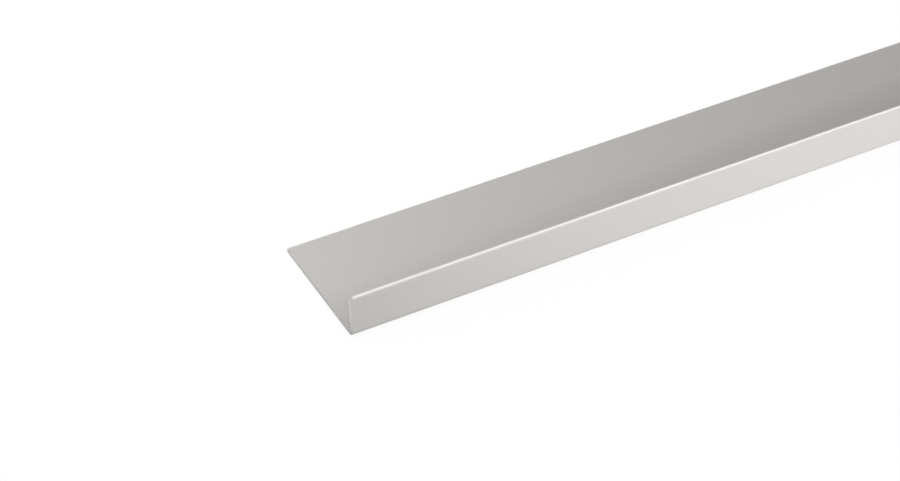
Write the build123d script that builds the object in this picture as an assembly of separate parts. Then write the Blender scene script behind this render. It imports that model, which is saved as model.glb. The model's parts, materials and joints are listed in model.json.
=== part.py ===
from build123d import *
import os

# Unequal angle profile in thin aluminium, lying on its wide leg with the short leg standing up.
# Frame: X runs along the length, Y across the wide leg from the short leg to the free edge, Z up.
# The origin is at the middle of the length, at the middle of the overall width, on the underside.

# Driving dimensions, in millimetres
LENGTH = 1000.0        # stock length, sawn square at both ends
WIDE_LEG = 30.0        # overall width of the leg that lies flat
SHORT_LEG = 10.0       # overall height of the leg that stands up
WALL = 1.0             # thickness of both legs
HEEL_RADIUS = 1.3      # round on the outside corner between the legs
ROOT_RADIUS = 0.3      # round in the inside corner between the legs
TIP_RADIUS = 0.48      # round on the four edges of the two free tips, nearly half the wall
DEBURR = 0.1           # chamfer that takes the burr off the sawn ends

# Places that follow from the driving dimensions, as width and height in the section
FRONT = -WIDE_LEG / 2
BACK = WIDE_LEG / 2
HEEL = (FRONT, 0)
ROOT = (FRONT + WALL, WALL)
UPRIGHT_TIP = [(FRONT, SHORT_LEG), (FRONT + WALL, SHORT_LEG)]
FLAT_TIP = [(BACK, 0), (BACK, WALL)]
FULLEST_TIP = 0.49 * WALL  # a tip round can't pass half the wall


def round_corner(section, place, radius):
    """Rounds the corner of the section that lies at a place given as width and height."""
    fillet(section.vertices().sort_by_distance(place)[0], radius)


def angle_section():
    """The L-shaped cross-section, with its heel, its root and its two tips rounded."""
    with BuildSketch(Plane.YZ) as section:
        with BuildLine():
            Polyline(HEEL, FLAT_TIP[0], FLAT_TIP[1], ROOT, UPRIGHT_TIP[1], UPRIGHT_TIP[0], close=True)
        make_face()
        round_corner(section, HEEL, HEEL_RADIUS)
        round_corner(section, ROOT, ROOT_RADIUS)
        for place in UPRIGHT_TIP + FLAT_TIP:
            round_corner(section, place, min(TIP_RADIUS, FULLEST_TIP))
    return section.sketch


def angle_profile():
    """The section drawn out to the stock length, with the burr taken off both sawn ends."""
    with BuildPart() as profile:
        extrude(angle_section(), amount=LENGTH / 2, both=True)
        sawn_ends = profile.faces().filter_by(Axis.X)
        chamfer(sawn_ends.edges(), DEBURR)
    return profile.part


if __name__ == "__main__":
    os.makedirs("parts", exist_ok=True)
    export_step(angle_profile(), "parts/angle_profile.step")
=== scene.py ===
import json
from math import pi, radians

import bpy
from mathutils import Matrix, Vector


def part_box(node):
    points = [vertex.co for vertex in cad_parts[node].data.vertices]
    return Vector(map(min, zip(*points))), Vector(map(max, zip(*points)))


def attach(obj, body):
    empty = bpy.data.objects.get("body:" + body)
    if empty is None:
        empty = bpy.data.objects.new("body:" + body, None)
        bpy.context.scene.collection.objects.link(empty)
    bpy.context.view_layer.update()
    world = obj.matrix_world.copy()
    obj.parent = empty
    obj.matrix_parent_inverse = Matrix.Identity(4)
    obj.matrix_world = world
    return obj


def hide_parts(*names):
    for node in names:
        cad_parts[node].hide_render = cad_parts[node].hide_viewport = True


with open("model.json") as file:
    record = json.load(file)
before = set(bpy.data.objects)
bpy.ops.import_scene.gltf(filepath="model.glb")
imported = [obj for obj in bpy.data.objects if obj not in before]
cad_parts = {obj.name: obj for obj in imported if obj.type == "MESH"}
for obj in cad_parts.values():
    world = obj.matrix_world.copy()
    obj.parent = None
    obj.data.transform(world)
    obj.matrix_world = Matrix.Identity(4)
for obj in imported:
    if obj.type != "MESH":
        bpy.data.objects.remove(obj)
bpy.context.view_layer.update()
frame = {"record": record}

# Satin anodised angle profile lying on its wide leg, on a white studio floor.
# All sizes are in metres. X runs along the profile, Y from the short leg to the free edge, Z up.

# The section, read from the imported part
NODE = "angle_profile"
LOW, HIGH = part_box(NODE)
MOUNTS = {mount["name"]: Vector(mount["pos_m"]) for mount in frame["record"]["mounts"]}
WALL = MOUNTS["wide_leg_inside"].z
FRONT = LOW.y
BACK = HIGH.y
ROOT = FRONT + WALL
TOP = HIGH.z
HALF_LENGTH = HIGH.x

# Rounds of the section, and the burr taken off the sawn ends
HEEL_RADIUS = 0.0013
ROOT_RADIUS = 0.0003
TIP_RADIUS = 0.00048
DEBURR = 0.0001
HEEL_STEPS = 16
ROOT_STEPS = 8
TIP_STEPS = 12
DEBURR_STEPS = 2
NEARBY = 0.00001       # how close a corner lies to the place it is looked up by
FACES_UP = 0.5         # a face is a top when its normal points up by more than this
FACES_AN_END = 0.2     # and was cut at an end when its normal points along by more than this
FLAT_UP_TO = radians(1)
SMOOTH_UP_TO = radians(25)

# The camera stands off the near corner of the heel, and looks down across the profile
CAMERA_FROM_HEEL = Vector((-0.14306, -0.30457, 0.30280))
CAMERA_TILT = radians(39.623)
CAMERA_TURN = radians(28.412)
CAMERA_LENS = 92.60
SENSOR_WIDTH = 36.0
SEEN_FROM = 0.01       # nearest and farthest that the camera sees
SEEN_UP_TO = 100


class Value:
    """A number that varies over a surface, so that shader maths reads as Python maths."""

    def __init__(self, nodes, socket):
        self.nodes = nodes
        self.socket = socket

    def math(self, operation, first, second):
        return self.nodes.add("ShaderNodeMath", {"operation": operation}, {0: first, 1: second})

    def __add__(self, other):
        return self.math("ADD", self, other)

    def __radd__(self, other):
        return self.math("ADD", other, self)

    def __sub__(self, other):
        return self.math("SUBTRACT", self, other)

    def __rsub__(self, other):
        return self.math("SUBTRACT", other, self)

    def __mul__(self, other):
        return self.math("MULTIPLY", self, other)

    def __rmul__(self, other):
        return self.math("MULTIPLY", other, self)

    def __truediv__(self, other):
        return self.math("DIVIDE", self, other)

    def size(self):
        return self.math("ABSOLUTE", self, 0.0)

    def above(self, other):
        return self.math("GREATER_THAN", self, other)

    def at_least(self, other):
        return self.math("MAXIMUM", self, other)

    def at_most(self, other):
        return self.math("MINIMUM", self, other)


class Nodes:
    """The node tree of a material or of the world, emptied to start with."""

    def __init__(self, owner):
        owner.use_nodes = True
        self.tree = owner.node_tree
        self.tree.nodes.clear()

    def add(self, kind, settings=None, inputs=None, output=0):
        """Adds a node, with its settings first and then its sockets' values or links."""
        node = self.tree.nodes.new(kind)
        for name, setting in (settings or {}).items():
            setattr(node, name, setting)
        for name, value in (inputs or {}).items():
            if isinstance(value, Value):
                self.tree.links.new(value.socket, node.inputs[name])
            else:
                node.inputs[name].default_value = value
        return Value(self, node.outputs[output]) if node.outputs else node

    def noise(self, place, size):
        """Noise from 0 to 1 whose blotches are about size long, wide and high."""
        scale = [1 / length for length in size]
        spread = self.add("ShaderNodeMapping", {}, {"Vector": place, "Scale": scale})
        return self.add("ShaderNodeTexNoise", {}, {"Vector": spread, "Scale": 1.0, "Detail": 2.0})

    def mix_colours(self, share, first, second):
        """The first colour where share is 0, and the second where it is 1."""
        settings = {"data_type": "RGBA"}
        return self.add("ShaderNodeMix", settings, {0: share, 6: first, 7: second}, output=2)

    def relief(self, height, depth):
        """The normal of a surface whose relief is depth deep, with height from 0 to 1."""
        return self.add("ShaderNodeBump", {}, {"Height": height, "Distance": depth, "Strength": 1.0})


def new_material(name):
    material = bpy.data.materials.new(name)
    return material, Nodes(material)


# The satin skin

SATIN_LIGHT = (0.793, 0.770, 0.744, 1)
SATIN_DARK = (0.768, 0.745, 0.720, 1)
SATIN_ROUGHNESS = 0.41
SATIN_RELIEF = 0.0000015               # depth of the finest lines and grain
DIE_LINE = (0.8, 0.00025, 0.00025)     # length, width and height of the lines that the die drew
BAND = (1.5, 0.004, 0.004)             # of the soft bands among them
GRAIN = (0.0002, 0.00012, 0.00012)     # and of the etched grain
LINES_IN_TONE = 0.35
BANDS_IN_TONE = 0.45
GRAIN_IN_TONE = 0.20
ROUGHER_ON_LINES = 0.04
ROUGHER_ON_GRAIN = 0.03

# The darker shade in the inside corner

SATIN_IN_CORNER = (0.570, 0.553, 0.534, 1)
CORNER_REACH = 0.019                   # how far from the root the darker shade fades out
SHADE_AT_END = 0.66                    # share of its reach and depth which is left at the sawn ends
FULL_SHADE = 0.13                      # how far from an end the shade is full

# The sawn ends

BARE_LIGHT = (0.82, 0.81, 0.79, 1)
BARE_DARK = (0.62, 0.61, 0.59, 1)
BARE_IN_PAINTED_SHADE = (0.47, 0.465, 0.455, 1)    # painted shade at the heel, where the sawn ends are painted darkest, next to the floor
PAINTED_SHADE_UP_TO = 0.0055                    # how high the painted shade reaches up the short leg's end
LESS_PAINTED_SHADE_ACROSS = 0.4                 # share of the painted shade which is gone at the wide leg's free edge
BARE_METALLIC = 0.6
BARE_ROUGHNESS = 0.50
ROUGHER_ON_MARKS = 0.15
BLADE_CENTRE = (0, 0.035, 0.118)       # where the saw blade turned
MARKS_PER_METRE = 3500.0
MARK_DETAIL = 3.0
MARK_DEPTH = 0.000012
DARKER_TOP_CORNER = (0.50, 0.49, 0.475, 1)       # darker colour at the short leg's top corners at the sawn ends, where its bright line starts dull
DARKER_CORNER_LENGTH = 0.0007                  # how far from an end the darker colour reaches
DARKER_CORNER_HEIGHT = 0.0006                  # and how far down from the top of the short leg
DARKER_CORNER_EDGE = 0.0004                    # over which it fades out


def coordinate(nodes, place, axis):
    return nodes.add("ShaderNodeSeparateXYZ", {}, {"Vector": place}, output=axis)


def across_from(nodes, place, point):
    """How far the place lies from a line along the profile, which runs through a point."""
    section = nodes.add("ShaderNodeVectorMath", {"operation": "MULTIPLY"}, {0: place, 1: (0, 1, 1)})
    settings = {"operation": "DISTANCE"}
    return nodes.add("ShaderNodeVectorMath", settings, {0: section, 1: point}, output="Value")


def corner_shade(nodes, place):
    """1 in the inside corner, fading out over both inside faces. It is painted, and not cast by a lamp."""
    inward = ((HALF_LENGTH - coordinate(nodes, place, "X").size()) / FULL_SHADE).at_most(1)
    share = SHADE_AT_END + (1 - SHADE_AT_END) * inward
    from_root = across_from(nodes, place, (0, ROOT, WALL)) / (CORNER_REACH * share)
    off_short_leg = coordinate(nodes, place, "Y").above(ROOT - WALL / 2)
    off_wide_leg = coordinate(nodes, place, "Z").above(WALL / 2)
    return (1 - from_root).at_least(0) * share * off_short_leg * off_wide_leg


def darker_top_corners(nodes, place):
    """1 at both ends of the short leg's top, where its bright line starts dull, and 0 elsewhere."""
    inward = HALF_LENGTH - coordinate(nodes, place, "X").size()
    downward = TOP - coordinate(nodes, place, "Z")
    along = ((DARKER_CORNER_LENGTH - inward) / DARKER_CORNER_EDGE).at_least(0).at_most(1)
    down = ((DARKER_CORNER_HEIGHT - downward) / DARKER_CORNER_EDGE).at_least(0).at_most(1)
    return along * down


def satin_anodised():
    """Etched and anodised skin: an even silver grey with faint lines that the die drew along it."""
    material, nodes = new_material("satin_anodised_aluminium")
    place = nodes.add("ShaderNodeTexCoord", output="Object")
    die_lines = nodes.noise(place, DIE_LINE)
    bands = nodes.noise(place, BAND)
    grain = nodes.noise(place, GRAIN)
    tone = LINES_IN_TONE * die_lines + BANDS_IN_TONE * bands + GRAIN_IN_TONE * grain
    skin = nodes.mix_colours(tone, SATIN_DARK, SATIN_LIGHT)
    shaded = nodes.mix_colours(corner_shade(nodes, place), skin, SATIN_IN_CORNER)
    # the short leg's top corners at the ends are coloured darker, so that its bright line starts dull
    colour = nodes.mix_colours(darker_top_corners(nodes, place), shaded, DARKER_TOP_CORNER)
    roughness = SATIN_ROUGHNESS + ROUGHER_ON_LINES * die_lines + ROUGHER_ON_GRAIN * grain
    normal = nodes.relief((die_lines + grain) / 2, SATIN_RELIEF)
    shader = {"Base Color": colour, "Roughness": roughness, "Metallic": 1.0, "Normal": normal}
    surface = nodes.add("ShaderNodeBsdfPrincipled", {}, shader)
    nodes.add("ShaderNodeOutputMaterial", {}, {"Surface": surface})
    return material


def bare_sawn():
    """Bare metal of the sawn ends, with the fine arcs that the saw blade left, and a painted shade that
    darkens them towards the floor and the heel.
    """
    material, nodes = new_material("bare_sawn_aluminium")
    place = nodes.add("ShaderNodeTexCoord", output="Object")
    radius = across_from(nodes, place, BLADE_CENTRE)
    settings = {"noise_dimensions": "1D"}
    inputs = {"W": radius, "Scale": MARKS_PER_METRE, "Detail": MARK_DETAIL}
    marks = nodes.add("ShaderNodeTexNoise", settings, inputs)
    cut = nodes.mix_colours(marks, BARE_DARK, BARE_LIGHT)
    # painted shade: the ends are darker towards the floor and the heel, and less so towards the wide leg's
    # free edge
    upward = coordinate(nodes, place, "Z") / PAINTED_SHADE_UP_TO
    across = (coordinate(nodes, place, "Y") - FRONT) / (BACK - FRONT)
    painted_shade_on_ends = nodes.mix_colours((upward + LESS_PAINTED_SHADE_ACROSS * across).at_most(1), BARE_IN_PAINTED_SHADE, cut)
    colour = nodes.mix_colours(darker_top_corners(nodes, place), painted_shade_on_ends, DARKER_TOP_CORNER)
    roughness = BARE_ROUGHNESS + ROUGHER_ON_MARKS * marks
    normal = nodes.relief(marks, MARK_DEPTH)
    shader = {
        "Base Color": colour,
        "Roughness": roughness,
        "Metallic": BARE_METALLIC,
        "Normal": normal,
    }
    surface = nodes.add("ShaderNodeBsdfPrincipled", {}, shader)
    nodes.add("ShaderNodeOutputMaterial", {}, {"Surface": surface})
    return material


# The profile

def select_faces(piece, wanted):
    """Selects only the faces that pass the test, which is given each face's middle and normal."""
    bpy.ops.object.mode_set(mode="EDIT")
    bpy.ops.mesh.select_mode(type="FACE")
    bpy.ops.mesh.select_all(action="DESELECT")
    bpy.ops.object.mode_set(mode="OBJECT")
    for face in piece.data.polygons:
        face.select = wanted(face.center, face.normal)
    bpy.ops.object.mode_set(mode="EDIT")


def select_edges(piece, wanted):
    """Selects only the edges whose two ends both pass the test."""
    bpy.ops.object.mode_set(mode="EDIT")
    bpy.ops.mesh.select_mode(type="EDGE")
    bpy.ops.mesh.select_all(action="DESELECT")
    bpy.ops.object.mode_set(mode="OBJECT")
    corners = piece.data.vertices
    for edge in piece.data.edges:
        edge.select = all(wanted(corners[corner].co) for corner in edge.vertices)
    bpy.ops.object.mode_set(mode="EDIT")


def round_long_edges(piece, places, radius, steps):
    """Rounds the edges that run along the profile at these places, given as width and height."""
    def on_a_place(corner):
        return any(abs(corner.y - y) < NEARBY and abs(corner.z - z) < NEARBY for y, z in places)

    select_edges(piece, on_a_place)
    bpy.ops.mesh.bevel(offset=radius, segments=steps, affect="EDGES", clamp_overlap=False)


def on_an_end(corner):
    return abs(corner.x) > HALF_LENGTH - NEARBY


def model_profile():
    """The L-shaped bar: a flat strip, its front margin drawn up into the short leg, then rounded."""
    bpy.ops.object.select_all(action="DESELECT")
    strip_size = (2 * HALF_LENGTH, BACK - FRONT, WALL)
    strip_middle = (0, (FRONT + BACK) / 2, WALL / 2)
    bpy.ops.mesh.primitive_cube_add(size=1, location=strip_middle, scale=strip_size)
    bpy.ops.object.transform_apply(location=True, rotation=True, scale=True)
    piece = bpy.context.object
    piece.name = "satin_angle"

    bpy.ops.object.mode_set(mode="EDIT")
    bpy.ops.mesh.select_all(action="SELECT")
    bpy.ops.mesh.bisect(plane_co=(0, ROOT, 0), plane_no=(0, 1, 0))
    select_faces(piece, lambda middle, normal: normal.z > FACES_UP and middle.y < ROOT)
    bpy.ops.mesh.extrude_region_move(TRANSFORM_OT_translate={"value": (0, 0, TOP - WALL)})
    bpy.ops.mesh.select_all(action="SELECT")
    bpy.ops.mesh.dissolve_limited(angle_limit=FLAT_UP_TO)

    round_long_edges(piece, [(FRONT, 0)], HEEL_RADIUS, HEEL_STEPS)
    round_long_edges(piece, [(ROOT, WALL)], ROOT_RADIUS, ROOT_STEPS)
    tips = [(FRONT, TOP), (ROOT, TOP), (BACK, 0), (BACK, WALL)]
    round_long_edges(piece, tips, TIP_RADIUS, TIP_STEPS)
    select_edges(piece, on_an_end)
    bpy.ops.mesh.bevel(offset=DEBURR, segments=DEBURR_STEPS, affect="EDGES", clamp_overlap=False)
    bpy.ops.mesh.select_all(action="SELECT")
    bpy.ops.mesh.normals_make_consistent(inside=False)
    bpy.ops.object.mode_set(mode="OBJECT")

    bpy.ops.object.shade_smooth_by_angle(angle=SMOOTH_UP_TO)
    bpy.ops.object.modifier_add(type="WEIGHTED_NORMAL")
    piece.modifiers[0].keep_sharp = True
    bpy.ops.object.modifier_apply(modifier=piece.modifiers[0].name)
    return piece


def dress(piece):
    """Gives the piece its two finishes: the anodised skin, and bare metal on the sawn ends."""
    piece.data.materials.append(satin_anodised())
    piece.data.materials.append(bare_sawn())
    for face in piece.data.polygons:
        face.material_index = 1 if abs(face.normal.x) > FACES_AN_END else 0


# The studio

WHITE = (1, 1, 1, 1)
FLOOR_SIZE = 40
FLOOR_DROP = 0.00002                   # how far the floor lies below the profile, to keep the two apart
FLOOR_PALE = (0.98, 0.98, 0.98, 1)
FLOOR_DIM = (0.55, 0.55, 0.55, 1)      # painted dim beside the near end, as only the metal sees it: a painted shade in the floor's reflection
DIM_UP_TO = -0.52                      # where along the profile the floor starts to get pale
GRADE_LENGTH = 0.18                    # and over which length it does
EVEN_TO_CAMERA = 0.90                  # share of the floor that takes no shadow, as the camera sees it
EVEN_TO_METAL = 0.80                   # and as the metal sees it
SKY_GREY = (0.15, 0.15, 0.15, 1)
HORIZON_TOP = 0.10                     # height of a ray's direction up to which the sky is white
SKY_BOTTOM = 0.40                      # and above which it is grey

# Each lamp's direction from the profile, its level, and how wide it looks
LAMPS = {
    "left_lamp": ((-0.82, 0.00, 0.57), 0.465, radians(130)),
    "right_lamp": ((0.49, -0.09, 0.87), 0.227, radians(40)),
    "front_lamp": ((0.51, -0.70, 0.50), 0.075, radians(40)),
    "back_lamp": ((0.07, 0.76, 0.64), 0.029, radians(30)),
    "low_back_lamp": ((0.25, 0.94, 0.21), 0.0133, radians(20)),
    "low_right_lamp": ((0.49, 0.85, 0.21), 0.0090, radians(20)),
}


def is_ray(nodes, kind):
    return nodes.add("ShaderNodeLightPath", output=f"Is {kind} Ray")


def lay_floor():
    """A wide pale floor, which shows as white and still takes the profile's shadow; as the metal sees it,
    it is painted dim beside the near end.
    """
    bpy.ops.object.select_all(action="DESELECT")
    bpy.ops.mesh.primitive_plane_add(size=FLOOR_SIZE, location=(0, 0, -FLOOR_DROP))
    floor = bpy.context.object
    floor.name = "studio_floor"
    material, nodes = new_material("pale_floor")
    to_camera = is_ray(nodes, "Camera")
    to_metal = is_ray(nodes, "Glossy") + is_ray(nodes, "Transmission")
    place = nodes.add("ShaderNodeTexCoord", output="Object")
    # painted shade: as the metal sees it, the floor is dim beside the near end and grows pale along the
    # profile
    along = ((coordinate(nodes, place, "X") - DIM_UP_TO) / GRADE_LENGTH).at_least(0).at_most(1)
    grade = along * (2 - along)
    colour = nodes.mix_colours(grade.at_least(to_camera), FLOOR_DIM, FLOOR_PALE)
    matt = nodes.add("ShaderNodeBsdfDiffuse", {}, {"Color": colour})
    even_colour = nodes.mix_colours(to_camera, colour, WHITE)
    even = nodes.add("ShaderNodeEmission", {}, {"Color": even_colour, "Strength": 1.0})
    share = EVEN_TO_CAMERA * to_camera + EVEN_TO_METAL * to_metal
    surface = nodes.add("ShaderNodeMixShader", {}, {0: share, 1: matt, 2: even})
    nodes.add("ShaderNodeOutputMaterial", {}, {"Surface": surface})
    floor.data.materials.append(material)


def fill_sky():
    """A soft sky that is white along the horizon and greyer above it."""
    world = bpy.data.worlds.new("studio_sky")
    bpy.context.scene.world = world
    nodes = Nodes(world)
    up = coordinate(nodes, nodes.add("ShaderNodeTexCoord", output="Generated"), "Z")
    low = ((SKY_BOTTOM - up) / (SKY_BOTTOM - HORIZON_TOP)).at_least(0).at_most(1)
    colour = nodes.mix_colours(low * low, SKY_GREY, WHITE)
    sky = nodes.add("ShaderNodeBackground", {}, {"Color": colour, "Strength": 1.0})
    nodes.add("ShaderNodeOutputWorld", {}, {"Surface": sky})


def shine_from_afar(name, direction, level, spread):
    """A far soft lamp towards a direction. A level of 1 alone makes a white floor show as white."""
    lamp = bpy.data.lights.new(name, "SUN")
    away = Vector(direction).normalized()
    lamp.energy = level * pi / away.z
    lamp.angle = spread
    sun = bpy.data.objects.new(name, lamp)
    sun.rotation_euler = away.to_track_quat("Z", "Y").to_euler()
    bpy.context.scene.collection.objects.link(sun)


def place_camera():
    """The photograph's viewpoint, off the near end of the profile."""
    heel = Vector((-HALF_LENGTH, FRONT, 0))
    data = bpy.data.cameras.new("camera")
    data.sensor_fit = "HORIZONTAL"
    data.sensor_width = SENSOR_WIDTH
    data.lens = CAMERA_LENS
    data.clip_start = SEEN_FROM
    data.clip_end = SEEN_UP_TO
    camera = bpy.data.objects.new("camera", data)
    camera.location = heel + CAMERA_FROM_HEEL
    camera.rotation_euler = (pi / 2 - CAMERA_TILT, 0, -CAMERA_TURN)
    bpy.context.scene.collection.objects.link(camera)
    bpy.context.scene.camera = camera


place_camera()
profile = model_profile()
dress(profile)
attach(profile, "root")
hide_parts(NODE)
lay_floor()
fill_sky()
for lamp_name, (lamp_direction, lamp_level, lamp_spread) in LAMPS.items():
    shine_from_afar(lamp_name, lamp_direction, lamp_level, lamp_spread)
bpy.context.scene.view_settings.view_transform = "Standard"
